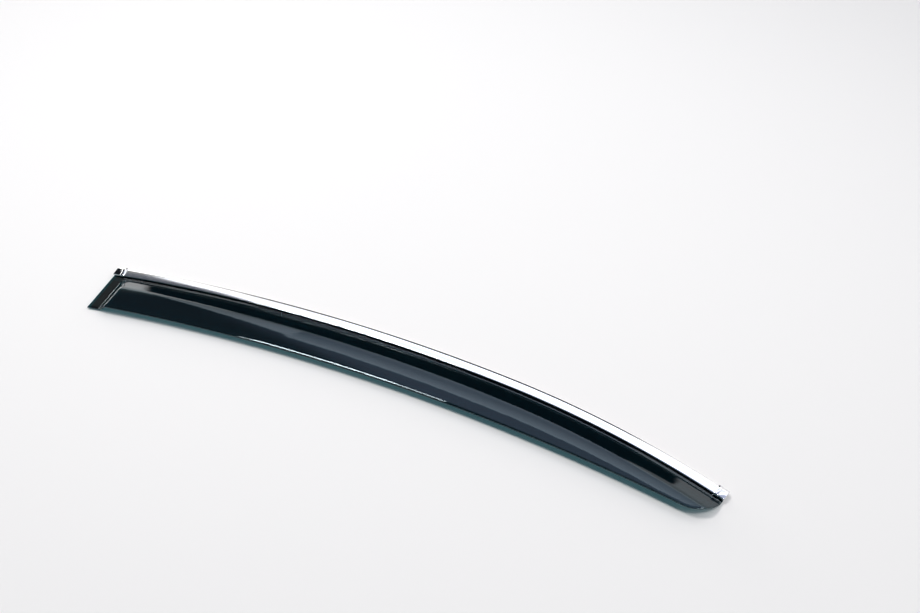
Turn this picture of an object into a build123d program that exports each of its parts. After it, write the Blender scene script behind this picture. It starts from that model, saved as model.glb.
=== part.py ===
import os
from math import atan2, cos, degrees, radians, sin, tan

from build123d import *

# Stick-on window rain deflector, lying outer face up on its mounting tapes.
# The flange's outer edge follows the door frame as two arcs that share a tangent where they meet.
# s is measured along that frame line from the meeting point, negative towards the tab end,
# p is measured in from it towards the blade's free edge, and z is up from the tapes' backs.

# Frame line
roof_radius = 2264.0
tail_radius = 1227.0
roof_run = 578.0
tail_run = 289.0

# Blade's free edge, as its depth p at the tab end, half way, at the meeting point and at the nose
tab_depth = 73.0
middle_depth = 75.0
meeting_depth = 71.4
nose_depth = 47.0
nose_radius = 38.0

# Acrylic moulding
wall = 2.6
flange_width = 16.0
step_angle = 25.0
crest_offset = 38.0
crest_radius = 13.0
blade_radius = 320.0
foot_radius = 2.0
outer_rim_round = 1.6
inner_rim_bevel = 0.5

# Tab that stands on the pillar, and the wall that rises from it
tab_width = 16.0
pillar_cut_angle = 9.3
end_wall_angle = 39.0
end_wall_round = 7.0

# Mounting tapes behind the flange and the tab
tape_thickness = 1.1
frame_tape_width = 11.0
tab_tape_width = 10.0
tape_margin = 2.0

# Bright trim, roll formed from sheet and bonded over the flange
trim_sheet = 0.6
trim_width = 12.7
trim_overhang = 1.0
trim_height = 3.0
trim_crown_radius = 150.0
trim_crown_lean = 1.8
trim_far_radius = 4.0
trim_near_radius = 1.5
trim_gap = 0.1
skirt_drop = 1.5
bond_tape_width = 8.0

# Plated end caps that close the trim, each with a raised lip at its open side
cap_length = 14.0
cap_wall = 0.8
cap_end_wall = 1.8
cap_end_bevel = 0.6
cap_overhang = 0.6
cap_clearance = 0.1
cap_flange_clearance = 0.3
lip_length = 5.5
lip_height = 0.5
lip_bevel = 0.4

# Room that cutting and enclosing solids are drawn past the moulding
spare = 30.0

flange_bottom = tape_thickness
flange_top = flange_bottom + wall
crest_height = flange_top + (crest_offset - flange_width) * tan(radians(step_angle))
section_reach = max(tab_depth, middle_depth) + spare
trim_far = -trim_overhang
trim_near = trim_far + trim_width
trim_middle = (trim_far + trim_near) / 2
trim_top = flange_top + trim_height
skirt_bottom = flange_top - skirt_drop
cap_skirt_bottom = skirt_bottom - cap_wall
cap_reach = cap_length - cap_overhang

section_plane = Plane(origin=(0, 0, 0), x_dir=(0, -1, 0), z_dir=(-1, 0, 0))
roof_axis = Axis((0, -roof_radius, 0), (0, 0, 1))
tail_axis = Axis((0, -tail_radius, 0), (0, 0, -1))


def frame_point(s, p=0.0, z=0.0):
    """Point at a run s along the frame line, a depth p in from it and a height z."""
    radius = roof_radius if s < 0 else tail_radius
    angle = s / radius
    return Vector((radius - p) * sin(angle), (radius - p) * cos(angle) - radius, z)


def section_box(p_from, p_to, z_from, z_to):
    """Upright rectangle of a section, by its limits in p and z."""
    middle = ((p_from + p_to) / 2, (z_from + z_to) / 2)
    return Pos(*middle) * Rectangle(p_to - p_from, z_to - z_from)


def along_frame(section, s_from, s_to):
    """Solid of a section carried along the frame line between two runs, given in either order."""
    s_from, s_to = sorted((s_from, s_to))
    face = section_plane * section
    solids = []
    if s_from < 0:
        end = min(s_to, 0.0)
        end_face = face.rotate(roof_axis, degrees(-end / roof_radius))
        solids.append(revolve(end_face, roof_axis, degrees((end - s_from) / roof_radius)))
    if s_to > 0:
        start = max(s_from, 0.0)
        start_face = face.rotate(tail_axis, degrees(start / tail_radius))
        solids.append(revolve(start_face, tail_axis, degrees((s_to - start) / tail_radius)))
    return solids[0] if len(solids) == 1 else solids[0] + solids[1]


def pillar_plane():
    """Upright plane at the tab's end: x inwards from the cut, y up and z along the cut."""
    lean = roof_run / roof_radius - radians(pillar_cut_angle)
    start = frame_point(-roof_run)
    return Plane(origin=start, x_dir=(cos(lean), sin(lean), 0), z_dir=(sin(lean), -cos(lean), 0))


def nose_plane():
    """Upright plane square across the nose end: x inwards from it, y up and z outwards."""
    turn = tail_run / tail_radius
    inwards = (-cos(turn), sin(turn), 0)
    return Plane(origin=frame_point(tail_run), x_dir=inwards, z_dir=(sin(turn), cos(turn), 0))


def inside_end(plane, distance):
    """Space on the moulding's side of an end plane that is moved inwards by the distance."""
    length = roof_run + tail_run + 2 * spare
    block = Pos(distance + length / 2, 0) * Rectangle(length, 2 * (crest_height + spare))
    return extrude(plane * block, amount=length, both=True)


def dome_section(inset):
    """Section of the dome: the step up from the flange, the crest and the bowed blade."""
    slope = tan(radians(step_angle))
    foot = flange_width + inset / sin(radians(step_angle))
    top = crest_height + spare
    bottom = -spare
    wedge = Polygon(
        (foot + (bottom - flange_top) / slope, bottom),
        (section_reach, bottom),
        (section_reach, top),
        (foot + (top - flange_top) / slope, top),
        align=None,
    )
    bow = Pos(crest_offset, crest_height - blade_radius) * Circle(blade_radius - inset)
    dome = wedge & bow
    crest = Vector(crest_offset, crest_height - inset)
    return fillet(dome.vertices().sort_by_distance(crest)[0], crest_radius - inset)


def moulding_section():
    """Section of the moulding's outside, flange and dome together."""
    flange = section_box(0, section_reach, flange_bottom, flange_top)
    above = section_box(0, section_reach, flange_bottom, crest_height + spare)
    return flange + (dome_section(0) & above)


def end_envelope(inset):
    """Space on the nose side of the sloping end wall, drawn in from its outside by the inset."""
    slope = tan(radians(end_wall_angle))
    foot = tab_width + inset / sin(radians(end_wall_angle))
    top = crest_height + spare
    bottom = -spare
    far = roof_run + tail_run + spare
    inside = Polygon(
        (foot + (bottom - flange_top) / slope, bottom),
        (far, bottom),
        (far, top),
        (foot + (top - flange_top) / slope, top),
        align=None,
    )
    return extrude(pillar_plane() * inside, amount=section_reach + spare, both=True)


def plan_outline():
    """Plan of the moulding before the pillar cut: frame line, nose cut, round nose, free edge."""
    over = -roof_run - spare
    far_roof = ThreePointArc(frame_point(over), frame_point(over / 2), frame_point(0))
    far_tail = ThreePointArc(frame_point(0), frame_point(tail_run / 2), frame_point(tail_run))
    nose = frame_point(tail_run, nose_depth)
    nose_cut = Line(frame_point(tail_run), nose)
    middle = frame_point(-roof_run / 2, middle_depth)
    meeting = frame_point(0, meeting_depth)
    tab_tip = frame_point(-roof_run, tab_depth)
    free_roof = ThreePointArc(tab_tip, middle, meeting)
    free_tail = TangentArc(meeting, nose, tangent=free_roof % 1)
    centre = free_roof.arc_center
    past_tab = centre + (tab_tip - centre).rotate(Axis.Z, degrees(spare / free_roof.radius))
    free_roof = ThreePointArc(past_tab, middle, meeting)
    tab_end = Line(past_tab, frame_point(over))
    plan = make_face([far_roof, far_tail, nose_cut, free_tail, free_roof, tab_end])
    return fillet(plan.vertices().sort_by_distance(nose)[0], nose_radius)


def outer_form():
    """Outside of the moulding as one block: tab and flange low, dome standing on them."""
    outline = Pos(0, 0, flange_bottom) * plan_outline()
    pillar_side = inside_end(pillar_plane(), 0)
    plan = extrude(outline, amount=crest_height + spare) & pillar_side
    block = plan & along_frame(moulding_section(), -roof_run - spare, tail_run)
    low_plan = extrude(outline, amount=wall) & pillar_side
    return (block & end_envelope(0)) + low_plan


def round_end_wall(solid, radius):
    """Round the end wall into the dome, along its edges apart from its foot and its free side."""
    plane = pillar_plane()
    tilt = radians(end_wall_angle)
    outward = plane.y_dir * cos(tilt) - plane.x_dir * sin(tilt)
    planes = solid.faces().filter_by(GeomType.PLANE)
    end_wall = planes.sort_by(lambda face: face.normal_at().dot(outward))[-1]
    edges = end_wall.edges().sort_by(Axis.Z)[1:]
    edges = edges.sort_by(lambda edge: edge.center().dot(plane.z_dir))[:-1]
    return solid.fillet(radius, edges)


def round_foot(solid):
    """Hollow round where the dome rises from the flange and the tab."""
    level = solid.faces().filter_by(GeomType.PLANE).filter_by(Plane.XY)
    flange_face = level.sort_by(Axis.Z)[-1]
    inner_edges = [edge for edge in flange_face.edges() if edge.is_interior]
    return solid.fillet(foot_radius, inner_edges)


def round_free_edge(solid):
    """Round the blade's outer rim and bevel its inner one; the rims that run on from them follow."""
    outer_rim = solid.edges().sort_by_distance(frame_point(-roof_run / 2, middle_depth, crest_height))[0]
    solid = solid.fillet(outer_rim_round, [outer_rim])
    inner_rim = solid.edges().sort_by_distance(frame_point(-roof_run / 2, middle_depth))[0]
    return solid.chamfer(inner_rim_bevel, None, [inner_rim])


def visor():
    """Smoked acrylic moulding: flange, step, crest, blade, tab and end wall in one piece."""
    outside = round_foot(round_end_wall(outer_form(), end_wall_round))
    hollow = along_frame(dome_section(wall), -roof_run - spare, tail_run + spare)
    hollow = round_end_wall(hollow & end_envelope(wall), end_wall_round - wall)
    return round_free_edge(outside - hollow)


def frame_tape():
    """Foam tape along the back of the flange."""
    section = section_box(tape_margin, tape_margin + frame_tape_width, 0, tape_thickness)
    return along_frame(section, -roof_run + tape_margin, tail_run - tape_margin)


def tab_tape():
    """Foam tape pad behind the tab."""
    pad = section_box(tape_margin, tape_margin + tab_tape_width, 0, tape_thickness)
    start = flange_width + tape_margin
    end = tab_depth / cos(radians(pillar_cut_angle)) - 2 * tape_margin
    plane = pillar_plane()
    return extrude(plane.offset(start) * pad, amount=end - start)


def trim_outline(inset, bottom):
    """Outline of the trim's section, drawn in by the inset: upright sides, and a low crown that
    leans towards the blade."""
    sides = section_box(trim_far + inset, trim_near - inset, bottom, trim_top + spare)
    lean = radians(trim_crown_lean)
    centre = (trim_middle - trim_crown_radius * sin(lean), trim_top - trim_crown_radius * cos(lean))
    crown = Pos(*centre) * Circle(trim_crown_radius - inset)
    outline = sides & crown
    far_corner = outline.vertices().sort_by(Axis.X)[:2].sort_by(Axis.Y)[-1]
    outline = fillet(far_corner, trim_far_radius - inset)
    near_corner = outline.vertices().sort_by(Axis.X)[-2:].sort_by(Axis.Y)[-1]
    return fillet(near_corner, trim_near_radius - inset)


def trim_strip():
    """Roll-formed strip: crown, near leg down to the flange, far leg down over its edge."""
    inside = trim_outline(trim_sheet, skirt_bottom - spare)
    flange_room = section_box(0, trim_near + spare, skirt_bottom - spare, flange_top + trim_gap)
    section = trim_outline(0, skirt_bottom) - inside - flange_room
    butt = cap_end_wall + cap_clearance - cap_overhang
    slant = trim_overhang * tan(radians(pillar_cut_angle))
    return along_frame(section, -roof_run + butt + slant, tail_run - butt)


def bond_tape():
    """Foam tape that fills the strip's crown and holds it to the flange."""
    half = bond_tape_width / 2
    section = section_box(trim_middle - half, trim_middle + half, flange_top, trim_top)
    section = section & trim_outline(trim_sheet + trim_gap, skirt_bottom)
    end_room = cap_reach + tape_margin
    return along_frame(section, -roof_run + end_room, tail_run - end_room)


def cap_body(plane, past, inner):
    """Outside of a cap, bevelled round its closed end."""
    body = along_frame(trim_outline(-cap_wall, cap_skirt_bottom), past, inner)
    body = body & inside_end(plane, -cap_overhang)
    closed_end = body.faces().sort_by(lambda face: face.center().dot(plane.x_dir))[0]
    return body.chamfer(cap_end_bevel, None, closed_end.edges().sort_by(Axis.Z)[1:])


def cap_lip(start, inner):
    """Raised lip round a cap's open side, bevelled along both its edges."""
    lip = along_frame(trim_outline(-cap_wall - lip_height, cap_skirt_bottom), start, inner)
    sides = lip.faces().filter_by(GeomType.PLANE).filter_by(Plane.XY, reverse=True)
    rims = [edge for side in sides for edge in side.edges().sort_by(Axis.Z)[1:]]
    return lip.chamfer(lip_bevel, None, rims)


def trim_cap(plane, end):
    """Plated cap over one end of the strip, closed at the end plane and open on its inner side."""
    inwards = 1 if end < 0 else -1
    past = end - inwards * spare
    inner = end + inwards * cap_reach
    open_side = inner + inwards * spare
    solid = cap_body(plane, past, inner) + cap_lip(inner - inwards * lip_length, inner)
    socket = along_frame(trim_outline(-cap_clearance, skirt_bottom - spare), past, open_side)
    socket = socket & inside_end(plane, cap_end_wall - cap_overhang)
    flange = section_box(-cap_flange_clearance, trim_near + spare, -spare, flange_top)
    return solid - socket - along_frame(flange, past, open_side)


def parts():
    return {
        "visor": visor(),
        "frame_tape": frame_tape(),
        "tab_tape": tab_tape(),
        "trim_strip": trim_strip(),
        "trim_bond_tape": bond_tape(),
        "trim_cap_tab_end": trim_cap(pillar_plane(), -roof_run),
        "trim_cap_nose_end": trim_cap(nose_plane(), tail_run),
    }


def level_and_centre(nodes):
    """Turn the deflector until its ends are level along X, with its footprint centred on Z."""
    chord = frame_point(tail_run) - frame_point(-roof_run)
    turn = Rot(0, 0, -degrees(atan2(chord.Y, chord.X)))
    turned = {name: turn * solid for name, solid in nodes.items()}
    boxes = [solid.bounding_box() for solid in turned.values()]
    middle_x = (min(box.min.X for box in boxes) + max(box.max.X for box in boxes)) / 2
    middle_y = (min(box.min.Y for box in boxes) + max(box.max.Y for box in boxes)) / 2
    shift = Pos(-middle_x, -middle_y, 0)
    return {name: shift * solid for name, solid in turned.items()}


os.makedirs("parts", exist_ok=True)
for node, solid in level_and_centre(parts()).items():
    export_step(solid, f"parts/{node}.step")
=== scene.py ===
import bpy
import bmesh
import numpy as np
from math import acos, asin, atan2, cos, pi, radians, sin, sqrt, tan
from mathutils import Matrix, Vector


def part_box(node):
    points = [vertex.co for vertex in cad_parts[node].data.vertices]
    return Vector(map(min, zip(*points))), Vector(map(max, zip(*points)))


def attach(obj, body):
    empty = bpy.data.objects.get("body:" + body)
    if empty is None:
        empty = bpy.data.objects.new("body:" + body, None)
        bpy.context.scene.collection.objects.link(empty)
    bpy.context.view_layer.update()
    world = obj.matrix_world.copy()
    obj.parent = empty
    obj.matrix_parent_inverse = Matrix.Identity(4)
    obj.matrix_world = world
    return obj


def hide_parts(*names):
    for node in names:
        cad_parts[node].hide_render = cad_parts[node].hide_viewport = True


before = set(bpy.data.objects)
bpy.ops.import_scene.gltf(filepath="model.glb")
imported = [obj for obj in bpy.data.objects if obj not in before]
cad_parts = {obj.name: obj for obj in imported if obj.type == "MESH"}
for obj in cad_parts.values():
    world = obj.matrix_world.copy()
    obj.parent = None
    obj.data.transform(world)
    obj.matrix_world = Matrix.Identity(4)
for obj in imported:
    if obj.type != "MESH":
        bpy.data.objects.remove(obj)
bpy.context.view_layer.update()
print("frame loaded:", len(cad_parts), "nodes")

# Sizes are in millimetres until a mesh is made. s runs along the frame line from the point where
# its two arcs meet, p goes in from that line to the blade's free edge, z is up from the tapes' backs.
mmPerMetre = 1000
frameLine = {"roofRadius": 2264, "tailRadius": 1227, "roofRun": 578, "tailRun": 289}


def framePoint(s, p):
    s, p = np.broadcast_arrays(np.asarray(s, float), np.asarray(p, float))
    radius = np.where(s < 0, frameLine["roofRadius"], frameLine["tailRadius"])
    turn = s / radius
    return np.stack([(radius - p) * np.sin(turn), (radius - p) * np.cos(turn) - radius], -1)


def frameCentre(x):
    radius = np.where(x < 0, frameLine["roofRadius"], frameLine["tailRadius"])
    return np.stack([np.zeros_like(radius, float), -radius.astype(float)], -1), radius


def runAndDepth(xy):
    centre, radius = frameCentre(xy[..., 0])
    off = xy - centre
    return radius * np.arctan2(off[..., 0], off[..., 1]), radius - np.linalg.norm(off, axis=-1)


# the CAD frame: both ends of the frame line level along X, the footprint's middle on the origin
lineStart = framePoint(-frameLine["roofRun"], 0)
lineEnd = framePoint(frameLine["tailRun"], 0)
frameTurn = -atan2(lineEnd[1] - lineStart[1], lineEnd[0] - lineStart[0])
turnMatrix = np.array([[cos(frameTurn), -sin(frameTurn)], [sin(frameTurn), cos(frameTurn)]])


def cross2(a, b):
    return a[0] * b[1] - a[1] * b[0]


def hitCircle(origin, way, centre, radius):
    # the first point where a line meets a circle
    off = origin - centre
    along = (off * way).sum(-1)
    inside = along ** 2 - (off ** 2).sum(-1) + radius ** 2
    return origin + (-along - np.sqrt(inside))[..., None] * way


def spread(start, stop, count):
    return np.linspace(start, stop, count, endpoint=False)


def softMin(a, b, k):
    h = np.clip(0.5 + 0.5 * (b - a) / k, 0, 1)
    return b + (a - b) * h - k * h * (1 - h)


def softMax(a, b, k):
    return -softMin(-a, -b, k)


def smoothStep(value, start, stop):
    part = np.clip((value - start) / (stop - start), 0, 1)
    return part * part * (3 - 2 * part)


def blend(a, b, part):
    return a + (b - a) * part


# The acrylic moulding
moulding = {
    "wall": 2.6, "flangeWidth": 16, "stepAngle": 25, "crestOffset": 38, "crestRadius": 13,
    "bladeRadius": 320, "tapeThickness": 1.1, "footBlend": 0.35, "endFootBlend": 0.9,
    "tabDepth": 73, "middleDepth": 75, "meetingDepth": 71.4, "noseDepth": 47, "noseRadius": 38,
    "tabWidth": 16, "cutAngle": 9.3, "endWallAngle": 39, "endWallBlend": 1.8, "innerBlend": 0.15,
    "hipBlend": 5.5, "hipDepth": (30, 44),
    "flangeRise": 6, "riseDepth": (12.2, 14.7),
    "rimWide": 3.0, "rimDrop": 0.62, "rimBevel": 0.5, "rimSteps": 10, "sharpAngle": 32,
}
flangeBottom = moulding["tapeThickness"]
flangeTop = flangeBottom + moulding["wall"]
stepSlope = tan(radians(moulding["stepAngle"]))
crestHeight = flangeTop + (moulding["crestOffset"] - moulding["flangeWidth"]) * stepSlope

# the pillar cut: where it starts, the way in from it and the way along it to the tab's tip
cutLean = frameLine["roofRun"] / frameLine["roofRadius"] - radians(moulding["cutAngle"])
cutStart = lineStart
cutInwards = np.array([cos(cutLean), sin(cutLean)])
cutAlong = np.array([sin(cutLean), -cos(cutLean)])
noseTurn = frameLine["tailRun"] / frameLine["tailRadius"]
noseOutwards = np.array([cos(noseTurn), -sin(noseTurn)])


def domeProfile(inset):
    angle = radians(moulding["stepAngle"])
    foot = moulding["flangeWidth"] + inset / sin(angle)
    up = np.array([cos(angle), sin(angle)])
    down = np.array([sin(angle), -cos(angle)])
    bowCentre = np.array([moulding["crestOffset"], crestHeight - moulding["bladeRadius"]])
    bowRadius = moulding["bladeRadius"] - inset
    crestRadius = moulding["crestRadius"] - inset
    # the crest's centre lies its own radius under the step and inside the bow
    start = np.array([foot, flangeTop]) + crestRadius * down - bowCentre
    along = start @ up
    run = -along + sqrt(along ** 2 - start @ start + (bowRadius - crestRadius) ** 2)
    crestCentre = start + run * up + bowCentre
    toBow = (crestCentre - bowCentre) / (bowRadius - crestRadius)
    return {
        "foot": foot, "bowCentre": bowCentre, "bowRadius": bowRadius,
        "crestCentre": crestCentre, "crestRadius": crestRadius,
        "crestStart": crestCentre[0] - crestRadius * down[0],
        "crestEnd": bowCentre[0] + bowRadius * toBow[0],
    }


def domeHeight(p, profile):
    line = flangeTop + (p - profile["foot"]) * stepSlope
    fromCrest = np.clip(p - profile["crestCentre"][0], -profile["crestRadius"], profile["crestRadius"])
    crest = profile["crestCentre"][1] + np.sqrt(profile["crestRadius"] ** 2 - fromCrest ** 2)
    fromBow = p - profile["bowCentre"][0]
    bow = profile["bowCentre"][1] + np.sqrt(profile["bowRadius"] ** 2 - fromBow ** 2)
    return np.where(p < profile["crestStart"], line, np.where(p < profile["crestEnd"], crest, bow))


outerProfile = domeProfile(0)
innerProfile = domeProfile(moulding["wall"])


def sheetHeight(xy, inner):
    inset = moulding["wall"] if inner else 0
    wallAngle = radians(moulding["endWallAngle"])
    wallFoot = moulding["tabWidth"] + inset / sin(wallAngle)
    fromCut = (xy - cutStart) @ cutInwards
    endWall = flangeTop + (fromCut - wallFoot) * tan(wallAngle)
    depth = runAndDepth(xy)[1]
    dome = domeHeight(depth, innerProfile if inner else outerProfile)
    onEndWall = np.clip(0.5 + 0.5 * (dome - endWall), 0, 1)
    # the end wall rounds over into the blade, and more broadly into the step at the hip
    hip = 1 - smoothStep(depth, *moulding["hipDepth"])
    dome = softMin(dome, endWall, blend(moulding["endWallBlend"], moulding["hipBlend"], hip))
    if inner:
        return softMax(dome, flangeBottom, moulding["innerBlend"])
    # the flange lies a little lower under the trim
    riseStart, riseEnd = moulding["riseDepth"]
    rise = tan(radians(moulding["flangeRise"])) * (np.clip(depth, riseStart, riseEnd) - riseStart)
    foot = blend(moulding["footBlend"], moulding["endFootBlend"], onEndWall)
    return softMax(dome, flangeTop + rise, foot)


# Free edge: an arc through three depths, a tangent arc on to the nose, and the nose's round
tabTip = framePoint(-frameLine["roofRun"], moulding["tabDepth"])
middlePoint = framePoint(-frameLine["roofRun"] / 2, moulding["middleDepth"])
meetingPoint = framePoint(0, moulding["meetingDepth"])
nosePoint = framePoint(frameLine["tailRun"], moulding["noseDepth"])


def circleThrough(a, b, c):
    ab, ac = b - a, c - a
    double = 2 * cross2(ab, ac)
    return a + np.array([
        ac[1] * (ab @ ab) - ab[1] * (ac @ ac), ab[0] * (ac @ ac) - ac[0] * (ab @ ab),
    ]) / double


freeRoofCentre = circleThrough(tabTip, middlePoint, meetingPoint)
freeRoofRadius = np.linalg.norm(meetingPoint - freeRoofCentre)
towards = (freeRoofCentre - meetingPoint) / freeRoofRadius
toNose = nosePoint - meetingPoint
freeTailRadius = (toNose @ toNose) / (2 * toNose @ towards)
freeTailCentre = meetingPoint + freeTailRadius * towards
# the nose's round lies its radius in from the nose cut and outside the tail's arc
noseStart = lineEnd - moulding["noseRadius"] * noseOutwards
noseDown = np.array([noseOutwards[1], -noseOutwards[0]])
noseCentre = hitCircle(
    noseStart, noseDown, freeTailCentre, freeTailRadius + moulding["noseRadius"])
noseFrom = freeTailCentre - noseCentre
noseFromAngle = atan2(noseFrom[1], noseFrom[0])
noseToAngle = atan2(noseOutwards[1], noseOutwards[0])

# Columns of the moulding's grid: close together over the end wall, then turning until they are square
# to the frame line, and fanned round the nose. Bands are (start, stop, steps).
columns = {
    "tabBands": ((3, 14.3, 8), (14.3, 17.2, 12), (17.2, 24.5, 10), (24.5, 33, 20), (33, 45, 8)),
    "fanEnd": -400, "fanSteps": 46, "mainSteps": 250, "noseSteps": 48,
}
rows = {
    "bands": ((0, 12, 6), (12, 15, 10), (15, 17, 12), (17, 26, 12), (26, 34, 8), (34, 42, 18)),
    "edgeSteps": 20, "roomToEdge": 46,
}
cutDistances = np.concatenate([spread(*band) for band in columns["tabBands"]])
lastCut = columns["tabBands"][-1][1]
fanStart = runAndDepth(hitCircle(
    cutStart + lastCut * cutInwards, cutAlong,
    np.array([0, -frameLine["roofRadius"]]), frameLine["roofRadius"]))[0]
noseRun = runAndDepth(noseCentre + moulding["noseRadius"] * noseFrom / np.linalg.norm(noseFrom))[0]


def mouldingColumns(inset):
    # lines across the moulding, each from the frame line to the free edge
    distances = np.concatenate([[inset], cutDistances])
    cutStarts = cutStart + distances[:, None] * cutInwards
    cutWays = np.repeat(cutAlong[None], len(distances), 0)
    fan = spread(fanStart, columns["fanEnd"], columns["fanSteps"])
    main = spread(columns["fanEnd"], noseRun, columns["mainSteps"])
    runs = np.concatenate([fan, main])
    starts = framePoint(runs, 0)
    across = framePoint(runs, 1) - starts
    turned = smoothStep(runs, fanStart, columns["fanEnd"])[:, None]
    across = cutAlong * (1 - turned) + across * turned
    origins = np.concatenate([cutStarts, starts])
    ways = np.concatenate([cutWays, across])
    ways = ways / np.linalg.norm(ways, axis=1, keepdims=True)
    centre, radius = frameCentre(origins[:, 0])
    far = hitCircle(origins, ways, centre, radius - inset)
    onRoof = (origins[:, 0] < 0)[:, None]
    edgeCentre = np.where(onRoof, freeRoofCentre, freeTailCentre)
    edgeRadius = np.where(onRoof[:, 0], freeRoofRadius, freeTailRadius)
    near = hitCircle(origins, ways, edgeCentre, edgeRadius + inset)
    # the nose: even steps along the frame line against even angles round its arc
    part = np.linspace(0, 1, columns["noseSteps"] + 1)
    farNose = framePoint(noseRun + (frameLine["tailRun"] - inset - noseRun) * part, inset)
    angle = noseFromAngle + (noseToAngle - noseFromAngle) * part
    nearNose = noseCentre + (moulding["noseRadius"] - inset) * np.stack(
        [np.cos(angle), np.sin(angle)], -1)
    return np.concatenate([far, farNose]), np.concatenate([near, nearNose])


def mouldingGrid(inset):
    far, near = mouldingColumns(inset)
    depth = runAndDepth(near)[1][:, None]
    banded = np.concatenate([spread(*band) for band in rows["bands"]])[None]
    lastBand = rows["bands"][-1][1]
    squeeze = np.minimum(1, depth / rows["roomToEdge"])
    toEdge = np.linspace(0, 1, rows["edgeSteps"] + 1)[None]
    tail = lastBand * squeeze + (depth - lastBand * squeeze) * toEdge
    part = np.concatenate([banded * squeeze, tail], 1) / depth
    return far[:, None] + part[..., None] * (near - far)[:, None]


def rimLoop(grid):
    return np.concatenate([grid[:-1, 0], grid[-1, :-1], grid[:0:-1, -1], grid[0, :0:-1]])


def withHeight(xy, z):
    return np.concatenate([xy, np.asarray(z)[..., None]], -1)


# the CAD box of the moulding says where the turned outline goes
outline = rimLoop(mouldingGrid(0)) @ turnMatrix.T
visorLow, visorHigh = (np.array(corner[:2]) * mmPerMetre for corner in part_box("visor"))
frameShift = (visorLow + visorHigh) / 2 - (outline.min(0) + outline.max(0)) / 2


def toFrame(points):
    # millimetres along the frame line's own axes to metres in the CAD frame
    points = np.asarray(points, float)
    flat = points[:, :2] @ turnMatrix.T + frameShift
    return np.concatenate([flat, points[:, 2:]], 1) / mmPerMetre


def makePiece(name, points, faces, uv, node, sharpAngle):
    mesh = bpy.data.meshes.new(name)
    mesh.from_pydata(toFrame(points).tolist(), [], faces)
    layer = mesh.uv_layers.new(name="runAndDepth")
    corner = np.zeros(len(mesh.loops), int)
    mesh.loops.foreach_get("vertex_index", corner)
    layer.uv.foreach_set("vector", (np.asarray(uv, float)[corner] / mmPerMetre).ravel())
    work = bmesh.new()
    work.from_mesh(mesh)
    bmesh.ops.triangulate(work, faces=[f for f in work.faces if len(f.verts) > 4])
    bmesh.ops.recalc_face_normals(work, faces=work.faces)
    work.to_mesh(mesh)
    work.free()
    mesh.polygons.foreach_set("use_smooth", [True] * len(mesh.polygons))
    mesh.set_sharp_from_angle(angle=radians(sharpAngle))
    piece = bpy.data.objects.new(name, mesh)
    bpy.context.scene.collection.objects.link(piece)
    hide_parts(node)
    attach(piece, "root")
    return piece


def gridIndex(first, across, down):
    return first + np.arange(across * down).reshape(across, down)


def gridFaces(index):
    quads = np.stack([index[:-1, :-1], index[1:, :-1], index[1:, 1:], index[:-1, 1:]], -1)
    return quads.reshape(-1, 4).tolist()


def bridge(a, b):
    # faces between two closed loops of points
    nextA, nextB = np.roll(a, -1), np.roll(b, -1)
    return np.stack([a, nextA, nextB, b], -1).tolist()


def buildVisor():
    top = mouldingGrid(moulding["rimWide"])
    under = mouldingGrid(moulding["rimBevel"])
    across, down = top.shape[:2]
    points = [withHeight(top, sheetHeight(top, False)).reshape(-1, 3)]
    topIndex = gridIndex(0, across, down)
    faces = gridFaces(topIndex)
    lastLoop = rimLoop(topIndex)
    count = across * down
    # the rim's rings: a flat oval over the edge, then down to the bevel of the inner face
    rings = []
    for step in range(1, moulding["rimSteps"] + 1):
        angle = step / moulding["rimSteps"] * pi / 2
        loop = rimLoop(mouldingGrid(moulding["rimWide"] * (1 - sin(angle))))
        drop = moulding["rimDrop"] * (1 - cos(angle))
        rings.append(withHeight(loop, sheetHeight(loop, False) - drop))
    loop = rimLoop(mouldingGrid(0))
    rings.append(withHeight(loop, sheetHeight(loop, True) + moulding["rimBevel"]))
    for ring in rings:
        points.append(ring)
        loop = count + np.arange(len(ring))
        faces += bridge(lastLoop, loop)
        lastLoop = loop
        count += len(ring)
    points.append(withHeight(under, sheetHeight(under, True)).reshape(-1, 3))
    underIndex = gridIndex(count, across, down)
    faces += gridFaces(underIndex) + bridge(lastLoop, rimLoop(underIndex))
    points = np.concatenate(points)
    uv = np.stack(runAndDepth(points[:, :2]), -1)
    return makePiece(
        "smokedVisor", points, faces, uv, "visor", moulding["sharpAngle"])


visor = buildVisor()
print("visor built:", len(visor.data.polygons), "faces")

# The bright trim and its end caps
trim = {
    "far": -1, "width": 12.7, "height": 3, "crownRadius": 150, "crownLean": 1.8,
    "farWide": 3.0, "farDrop": 0.7, "nearRadius": 0.7, "sheet": 0.6, "gap": 0.1, "skirtDrop": 1.5,
    "crownSteps": 14, "cornerSteps": 9, "runSteps": 380, "sharpAngle": 32,
}
trimNear = trim["far"] + trim["width"]
trimMiddle = trim["far"] + trim["width"] / 2
trimTop = flangeTop + trim["height"]


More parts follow.
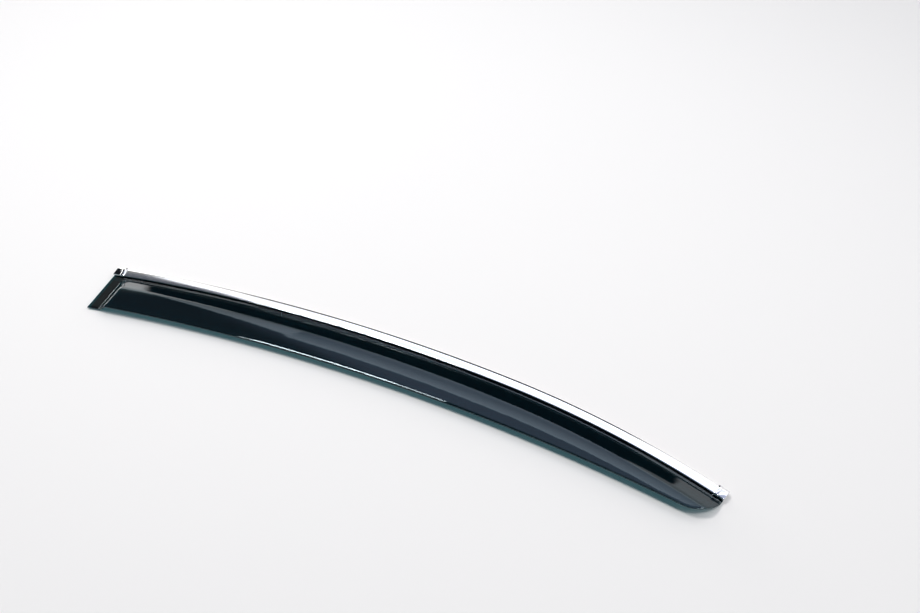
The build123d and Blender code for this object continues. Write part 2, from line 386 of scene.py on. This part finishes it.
def trimArch(inset, farBottom, nearBottom):
    # p and z round the trim's section, from the far skirt's bottom over the crown to the near leg
    lean = radians(trim["crownLean"])
    centre = np.array([
        trimMiddle - trim["crownRadius"] * sin(lean), trimTop - trim["crownRadius"] * cos(lean)])
    crownRadius = trim["crownRadius"] - inset
    nearRadius = trim["nearRadius"] - inset
    farWide, farDrop = trim["farWide"] - inset, trim["farDrop"] - inset
    # the far side's oval meets the crown where the two lean alike
    farEdge = trim["far"] + inset
    farLean = asin((farEdge + farWide - centre[0]) / crownRadius)
    turned = atan2(farWide * sin(farLean), farDrop * cos(farLean))
    farP = farEdge + farWide * (1 + sin(turned))
    farAngle = acos((farP - centre[0]) / crownRadius)
    farMiddle = (farEdge + farWide, centre[1] + crownRadius * sin(farAngle) - farDrop * cos(turned))
    nearP = trimNear - inset - nearRadius
    nearCorner = np.array([
        nearP, centre[1] + sqrt((crownRadius - nearRadius) ** 2 - (nearP - centre[0]) ** 2)])
    nearAngle = atan2(nearCorner[1] - centre[1], nearP - centre[0])
    points = [(farEdge, farBottom)]
    for middle, wide, tall, start, stop, count in (
        (farMiddle, farWide, farDrop, pi, pi / 2 - turned, trim["cornerSteps"]),
        (centre, crownRadius, crownRadius, farAngle, nearAngle, trim["crownSteps"]),
        (nearCorner, nearRadius, nearRadius, nearAngle, 0, trim["cornerSteps"]),
    ):
        points += [
            (middle[0] + wide * cos(a), middle[1] + tall * sin(a)) for a in spread(start, stop, count)]
    points += [(trimNear - inset, nearCorner[1]), (trimNear - inset, nearBottom)]
    return np.array(points)


def archLength(arch):
    return np.concatenate([[0], np.cumsum(np.linalg.norm(np.diff(arch, axis=0), axis=1))])


def sweepRing(arch, run, lean=0):
    return withHeight(framePoint(run - arch[:, 0] * lean, arch[:, 0]), arch[:, 1])


# Both caps: eases soften the bevels' corners, as (along, across)
cap = {
    "length": 14, "wall": 0.8, "endWall": 1.8, "endBevel": 0.6, "overhang": 0.6, "clearance": 0.1,
    "flangeClearance": 0.3, "lipLength": 5.5, "lipHeight": 0.5, "lipBevel": 0.4, "skirtDrop": 2.3,
    "endEase": (0.08, 0.16), "bodyEase": 0.12, "lipEase": (0.15, 0.06), "sharpAngle": 24,
}


def buildTrim():
    butt = cap["endWall"] + cap["clearance"] - cap["overhang"]
    slant = -trim["far"] * tan(radians(moulding["cutAngle"]))
    start, stop = -frameLine["roofRun"] + butt + slant, frameLine["tailRun"] - butt
    runs = np.linspace(start, stop, trim["runSteps"])
    skirtBottom, legBottom = flangeTop - trim["skirtDrop"], flangeTop + trim["gap"]
    outer = trimArch(0, skirtBottom, legBottom)
    inner = trimArch(trim["sheet"], skirtBottom, legBottom)
    section = np.concatenate([outer, inner[::-1]])
    around = len(section)
    points = np.concatenate([sweepRing(section, run) for run in runs])
    faces = []
    for step in range(len(runs) - 1):
        faces += bridge(np.arange(around) + step * around, np.arange(around) + (step + 1) * around)
    # the cut ends of the sheet
    for ring in (0, (len(runs) - 1) * around):
        last = ring + around - 1
        faces += [[ring + i, ring + i + 1, last - 1 - i, last - i] for i in range(len(outer) - 1)]
    length = np.concatenate([archLength(outer), archLength(inner)[::-1]])
    uv = np.stack([np.repeat(runs, around), np.tile(length, len(runs))], -1)
    return makePiece(
        "brightTrim", points, faces, uv, "trim_strip", trim["sharpAngle"])


def buildCap(name, end, lean, node):
    inwards = 1 if end < 0 else -1
    length, bevel, lipBevel = cap["length"], cap["endBevel"], cap["lipBevel"]
    lipStart = length - cap["lipLength"]
    bodyWall, lipWall = cap["wall"], cap["wall"] + cap["lipHeight"]
    skirtBottom = flangeTop - cap["skirtDrop"]
    endShort, endLong = cap["endEase"]
    bodyEase, (lipEase, lipDip) = cap["bodyEase"], cap["lipEase"]
    # (distance in from the closed end, wall outside the trim): closed end, bevel, body, lip, socket
    outside = (
        (0, bodyWall - bevel), (endShort, bodyWall - bevel + endLong),
        (bevel - endLong, bodyWall - endShort), (bevel + bodyEase, bodyWall),
        (lipStart - bodyEase, bodyWall), (lipStart, bodyWall + lipDip),
        (lipStart + lipBevel, lipWall - lipDip), (lipStart + lipBevel + lipEase, lipWall),
        (length - lipBevel - lipEase, lipWall), (length - lipBevel, lipWall - lipDip),
        (length, lipWall - lipBevel),
    )
    socket = ((length, cap["clearance"]), (cap["endWall"], cap["clearance"]))
    points, uv = [], []
    for distance, out in outside + socket:
        arch = trimArch(-out, skirtBottom, flangeTop)
        squared = min(1, distance / lipStart)  # the closed end follows the pillar cut, the lip is square
        run = end + inwards * (distance - cap["overhang"])
        points.append(sweepRing(arch, run, lean * (1 - squared)))
        uv.append(np.stack([np.full(len(arch), run), archLength(arch)], -1))
    around, count = len(points[0]), len(points)
    faces = []
    for ring in range(count - 1):
        a, b = np.arange(around) + ring * around, np.arange(around) + (ring + 1) * around
        faces += np.stack([a[:-1], a[1:], b[1:], b[:-1]], -1).tolist()
    # the end wall's notch over the flange's edge, outside and inside
    notchEdge = -cap["flangeClearance"]
    notch = np.array([(notchEdge, flangeTop), (notchEdge, skirtBottom)])
    for distance in (0, cap["endWall"]):
        run = end + inwards * (distance - cap["overhang"])
        points.append(sweepRing(notch, run, lean * (1 - distance / lipStart)))
        uv.append(np.stack([np.full(len(notch), run), notch[:, 1]], -1))
    high0, low0, high1, low1 = np.arange(4) + count * around  # the notch's corners, outside then inside
    firsts = np.arange(count) * around
    lasts = firsts + around - 1
    faces.append([*range(around), high0, low0])
    faces.append([*range((count - 1) * around, count * around), high1, low1])
    faces.append([*firsts, low1, low0])
    faces.append([*lasts, high1, high0])
    faces.append([high0, high1, low1, low0])
    faces = [[int(i) for i in face] for face in faces]
    points, uv = np.concatenate(points), np.concatenate(uv)
    return makePiece(name, points, faces, uv, node, cap["sharpAngle"])


trimPiece = buildTrim()
tabCap = buildCap(
    "tabEndCap", -frameLine["roofRun"], tan(radians(moulding["cutAngle"])), "trim_cap_tab_end")
noseCap = buildCap("noseEndCap", frameLine["tailRun"], 0, "trim_cap_nose_end")
print("trim built:", len(trimPiece.data.polygons), "faces, caps", len(tabCap.data.polygons), "each")

# Finishes
noiseLow, noiseHigh = 0.3, 0.7  # most of a noise lies between these


class Nodes:
    # a short way to add nodes to one material, or to the room, and join them
    def __init__(self, owner):
        self.owner = owner
        owner.use_nodes = True
        self.tree = owner.node_tree
        self.tree.nodes.clear()

    def add(self, kind, inputs=None, **settings):
        node = self.tree.nodes.new(kind)
        for key, value in settings.items():
            setattr(node, key, value)
        for key, value in (inputs or {}).items():
            self.put(node.inputs[key], value)
        return node

    def put(self, socket, value):
        if isinstance(value, bpy.types.NodeSocket):
            self.tree.links.new(value, socket)
        elif isinstance(value, tuple) and len(value) == 3 and socket.type == "RGBA":
            socket.default_value = (*value, 1)
        else:
            socket.default_value = value

    def noise(self, vector, scale, detail=3, roughness=0.55):
        return self.add("ShaderNodeTexNoise", {
            "Vector": vector, "Scale": scale, "Detail": detail, "Roughness": roughness}).outputs["Fac"]

    def between(self, fac, low, high):
        return self.add("ShaderNodeMapRange", {
            "Value": fac, "From Min": noiseLow, "From Max": noiseHigh, "To Min": low, "To Max": high,
        }).outputs["Result"]

    def blendColour(self, fac, low, high):
        ramp = self.add("ShaderNodeValToRGB", {"Fac": fac})
        first, last = ramp.color_ramp.elements
        first.position, last.position = noiseLow, noiseHigh
        first.color, last.color = (*low, 1), (*high, 1)
        return ramp.outputs["Color"]

    def bump(self, height, strength, distance):
        return self.add("ShaderNodeBump", {
            "Height": height, "Strength": strength, "Distance": distance}).outputs["Normal"]

    def finish(self, shader):
        self.add("ShaderNodeOutputMaterial", {"Surface": shader})
        return self.owner


# acrylic: cover is the glossy share over what shows through, the ripple is the moulding's slight waviness
smokedFinish = {
    "body": (0.0004, 0.0006, 0.001), "bodyPale": (0.0008, 0.0012, 0.002), "cover": 0.75,
    "tint": (0.34, 0.90, 1.0), "ior": 1.7, "gloss": (0.78, 0.92, 1.0), "roughness": (0.004, 0.014),
    "cloudScale": 14, "flowScale": 55, "ripple": 0.004, "rippleHeight": 0.01,
}


def smokedAcrylic():
    n = Nodes(bpy.data.materials.new("smokedAcrylic"))
    place = n.add("ShaderNodeTexCoord").outputs["Object"]
    cloudy = n.noise(place, smokedFinish["cloudScale"])
    flow = n.noise(place, smokedFinish["flowScale"], 2)
    surface = n.add("ShaderNodeBsdfPrincipled", {
        "Base Color": n.blendColour(cloudy, smokedFinish["body"], smokedFinish["bodyPale"]),
        "Roughness": n.between(flow, *smokedFinish["roughness"]), "IOR": smokedFinish["ior"],
        "Specular Tint": smokedFinish["gloss"],
        "Normal": n.bump(flow, smokedFinish["ripple"], smokedFinish["rippleHeight"]),
    })
    through = n.add("ShaderNodeBsdfTransparent", {"Color": smokedFinish["tint"]})
    mixed = n.add("ShaderNodeMixShader", {
        0: smokedFinish["cover"], 1: through.outputs[0], 2: surface.outputs[0]})
    return n.finish(mixed.outputs[0])


# bright strip: fine marks along the way it was rolled
brightFinish = {
    "metal": (0.86, 0.87, 0.88), "metalDull": (0.78, 0.80, 0.82), "roughness": (0.05, 0.14),
    "rollMarks": (6, 900), "markDetail": 4, "markRoughness": 0.6, "markDepth": 0.02, "markHeight": 0.001,
}


def brightMetal():
    n = Nodes(bpy.data.materials.new("rolledBright"))
    place = n.add("ShaderNodeUVMap", uv_map="runAndDepth").outputs["UV"]
    stretched = n.add("ShaderNodeMapping", {
        "Vector": place, "Scale": (*brightFinish["rollMarks"], 1)}).outputs["Vector"]
    marks = n.noise(stretched, 1, brightFinish["markDetail"], brightFinish["markRoughness"])
    surface = n.add("ShaderNodeBsdfPrincipled", {
        "Base Color": n.blendColour(marks, brightFinish["metalDull"], brightFinish["metal"]),
        "Metallic": 1.0, "Roughness": n.between(marks, *brightFinish["roughness"]),
        "Normal": n.bump(marks, brightFinish["markDepth"], brightFinish["markHeight"]),
    })
    return n.finish(surface.outputs[0])


platedFinish = {
    "metal": (0.74, 0.75, 0.76), "metalDull": (0.64, 0.65, 0.67), "roughness": (0.03, 0.09),
    "cloudScale": 320, "ripple": 0.01, "rippleHeight": 0.001,
}


def platedMetal():
    n = Nodes(bpy.data.materials.new("platedCap"))
    place = n.add("ShaderNodeTexCoord").outputs["Object"]
    cloudy = n.noise(place, platedFinish["cloudScale"])
    surface = n.add("ShaderNodeBsdfPrincipled", {
        "Base Color": n.blendColour(cloudy, platedFinish["metalDull"], platedFinish["metal"]),
        "Metallic": 1.0, "Roughness": n.between(cloudy, *platedFinish["roughness"]),
        "Normal": n.bump(cloudy, platedFinish["ripple"], platedFinish["rippleHeight"]),
    })
    return n.finish(surface.outputs[0])


foamFinish = {
    "dark": (0.012, 0.012, 0.013), "pale": (0.035, 0.035, 0.037), "roughness": (0.7, 0.95),
    "cellScale": 2600, "cellDepth": 0.2, "cellHeight": 0.0004,
}


def foamTape():
    n = Nodes(bpy.data.materials.new("foamTape"))
    place = n.add("ShaderNodeTexCoord").outputs["Object"]
    cells = n.noise(place, foamFinish["cellScale"], 2)
    surface = n.add("ShaderNodeBsdfPrincipled", {
        "Base Color": n.blendColour(cells, foamFinish["dark"], foamFinish["pale"]),
        "Roughness": n.between(cells, *foamFinish["roughness"]),
        "Normal": n.bump(cells, foamFinish["cellDepth"], foamFinish["cellHeight"]),
    })
    return n.finish(surface.outputs[0])


def dress(piece, material):
    piece.data.materials.clear()
    piece.data.materials.append(material)


platedMaterial, foamMaterial = platedMetal(), foamTape()
dress(visor, smokedAcrylic())
dress(trimPiece, brightMetal())
for piece in (tabCap, noseCap):
    dress(piece, platedMaterial)
for node in ("frame_tape", "tab_tape", "trim_bond_tape"):
    dress(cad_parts[node], foamMaterial)
print("finishes set")

# Studio, in metres: a pale floor, a long softbox in two lengths over the far side, high panels, a dim room
studio = {
    "floorSize": 30, "floorDrop": 0.0003, "floorColour": (0.90, 0.88, 0.855), "room": (0.012, 0.014, 0.018),
}
# Zones of the room, each over those before it: bearing from +Y to the right and height over the
# horizon, in degrees.
roomZones = {
    "ceiling": {
        "bearing": 35, "half": 83, "soft": 12, "height": (50, 100), "fade": 3, "slant": 0,
        "colour": (0.58, 0.63, 0.83)},
    "rightWall": {
        "bearing": 60, "half": 52.3, "soft": 0.35, "height": (-20, 56), "fade": 4, "slant": 0.22,
        "colour": (1.12, 1.09, 1.1)},
    "leftCard": {
        "bearing": -45.2, "half": 7.7, "soft": 0.5, "height": (-20, 41), "fade": 2, "slant": 0,
        "colour": (2.5, 2.4, 2.35)},
    "frontWall": {
        "bearing": 180, "half": 85, "soft": 12, "height": (-20, 29), "fade": 4, "slant": 0,
        "colour": (0.28, 0.39, 0.42)},
    "leftStrip": {
        "bearing": -66, "half": 14, "soft": 1, "height": (-20, 9), "fade": 0.7, "slant": 0,
        "colour": (9, 9, 9)},
    "leftHigh": {
        "bearing": -68, "half": 20, "soft": 5, "height": (43, 72), "fade": 2, "slant": 0,
        "colour": (0.11, 0.12, 0.145)},
    "tabCard": {
        "bearing": -54, "half": 5, "soft": 1.5, "height": (42.5, 46.5), "fade": 1, "slant": 0,
        "colour": (0.36, 0.36, 0.34)},
}
# fade gives what is left of a panel's light at shares of its depth, from its near side
panels = {
    "softbox": {
        "place": (0.05, 0.82, 1.2), "size": (1.6, 0.48), "turn": 0, "radiance": 1.5,
        "colour": (1.05, 1.08, 1.13), "fade": ((0, 1), (0.28, 0.28), (0.38, 0.34), (0.52, 0.8))},
    "softboxEnd": {
        "place": (-0.96, 0.90, 1.2), "size": (0.52, 0.48), "turn": -11.5, "radiance": 1.6,
        "colour": (1.05, 1.05, 1.08), "fade": ((0, 1), (0.4, 0.6))},
    "keyPanel": {
        "place": (-0.87, 0.25, 2.05), "size": (0.5, 0.5), "turn": 0, "radiance": 24.5, "colour": (1, 1, 1)},
    "keyEdge": {
        "place": (-0.54, 0.25, 2.05), "size": (0.16, 0.5), "turn": 0, "radiance": 12, "colour": (1, 1, 1)},
    "fillPanel": {
        "place": (1.1, 0.1, 2.1), "size": (0.5, 0.5), "turn": 0, "radiance": 15, "colour": (1, 1, 1)},
}


def buildFloor():
    half = studio["floorSize"] / 2
    corners = ((-half, -half), (half, -half), (half, half), (-half, half))
    mesh = bpy.data.meshes.new("floor")
    mesh.from_pydata([(x, y, -studio["floorDrop"]) for x, y in corners], [], [(0, 1, 2, 3)])
    floor = bpy.data.objects.new("floor", mesh)
    bpy.context.scene.collection.objects.link(floor)
    n = Nodes(bpy.data.materials.new("paleFloor"))
    matt = n.add("ShaderNodeBsdfDiffuse", {"Color": studio["floorColour"]})
    dress(floor, n.finish(matt.outputs[0]))


def buildRoom():
    world = bpy.data.worlds.new("room")
    bpy.context.scene.world = world
    n = Nodes(world)

    def maths(kind, a, b=0.0, c=0.0):
        return n.add("ShaderNodeMath", {0: a, 1: b, 2: c}, operation=kind).outputs[0]

    def rising(value, at, fade):
        return n.add("ShaderNodeMapRange", {
            "Value": value, "From Min": at - fade, "From Max": at + fade},
            interpolation_type="SMOOTHSTEP").outputs["Result"]

    way = n.add("ShaderNodeTexCoord").outputs["Generated"]
    x, y, z = n.add("ShaderNodeSeparateXYZ", {0: way}).outputs
    height = maths("DEGREES", maths("ARCSINE", z))
    bearing = maths("DEGREES", maths("ARCTAN2", x, y))
    light = (*studio["room"], 1)
    for zone in roomZones.values():
        leaned = maths("MULTIPLY_ADD", height, zone["slant"], bearing)
        off = maths("WRAP", maths("SUBTRACT", leaned, zone["bearing"]), 180.0, -180.0)
        across = maths("SUBTRACT", 1.0, rising(maths("ABSOLUTE", off), zone["half"], zone["soft"]))
        low, high = zone["height"]
        up = maths("MULTIPLY", rising(height, low, zone["fade"]), maths(
            "SUBTRACT", 1.0, rising(height, high, zone["fade"])))
        mixed = n.add("ShaderNodeMix", data_type="RGBA")
        n.put(mixed.inputs["Factor"], maths("MULTIPLY", across, up))
        n.put(mixed.inputs[6], light)  # 6, 7 and output 2 are the node's colour sockets
        n.put(mixed.inputs[7], (*zone["colour"], 1))
        light = mixed.outputs[2]
    glow = n.add("ShaderNodeBackground", {"Color": light, "Strength": 1.0})
    n.add("ShaderNodeOutputWorld", {"Surface": glow.outputs[0]})


def buildPanel(name):
    panel = panels[name]
    data = bpy.data.lights.new(name, "AREA")
    data.shape = "RECTANGLE"
    data.size, data.size_y = panel["size"]
    data.color = panel["colour"]
    data.energy = panel["radiance"] * pi * data.size * data.size_y
    if "fade" in panel:
        n = Nodes(data)
        across = n.add("ShaderNodeNewGeometry").outputs["Parametric"]
        depth = n.add("ShaderNodeSeparateXYZ", {0: across}).outputs["Y"]
        ramp = n.add("ShaderNodeValToRGB", {"Fac": depth})
        stops = ramp.color_ramp.elements
        while len(stops) < len(panel["fade"]):
            stops.new(0.5)
        for stop, (share, left) in zip(stops, panel["fade"]):
            stop.position, stop.color = share, (left, left, left, 1)
        glow = n.add("ShaderNodeEmission", {"Color": ramp.outputs["Color"], "Strength": 1.0})
        n.add("ShaderNodeOutputLight", {"Surface": glow.outputs[0]})
    lamp = bpy.data.objects.new(name, data)
    lamp.location = panel["place"]
    lamp.rotation_euler = (0, 0, radians(panel["turn"]))
    lamp.visible_camera = False
    bpy.context.scene.collection.objects.link(lamp)


buildFloor()
buildRoom()
for panelName in panels:
    buildPanel(panelName)
print("studio set")

# Camera at the photograph's angle: 920 by 613, no shift
view = {
    "place": (0.37635, -0.62308, 0.98035), "down": 49.25, "turn": 24.2519, "focalPixels": 958.5,
    "imageWidth": 920, "sensor": 36, "clip": (0.01, 50),
}
cameraData = bpy.data.cameras.new("camera")
cameraData.sensor_width = view["sensor"]
cameraData.lens = view["focalPixels"] / view["imageWidth"] * view["sensor"]
cameraData.clip_start, cameraData.clip_end = view["clip"]
camera = bpy.data.objects.new("camera", cameraData)
camera.location = view["place"]
camera.rotation_euler = (radians(90 - view["down"]), 0, radians(view["turn"]))
bpy.context.scene.collection.objects.link(camera)
bpy.context.scene.camera = camera
bpy.context.scene.view_settings.view_transform = "Standard"
print("camera set")
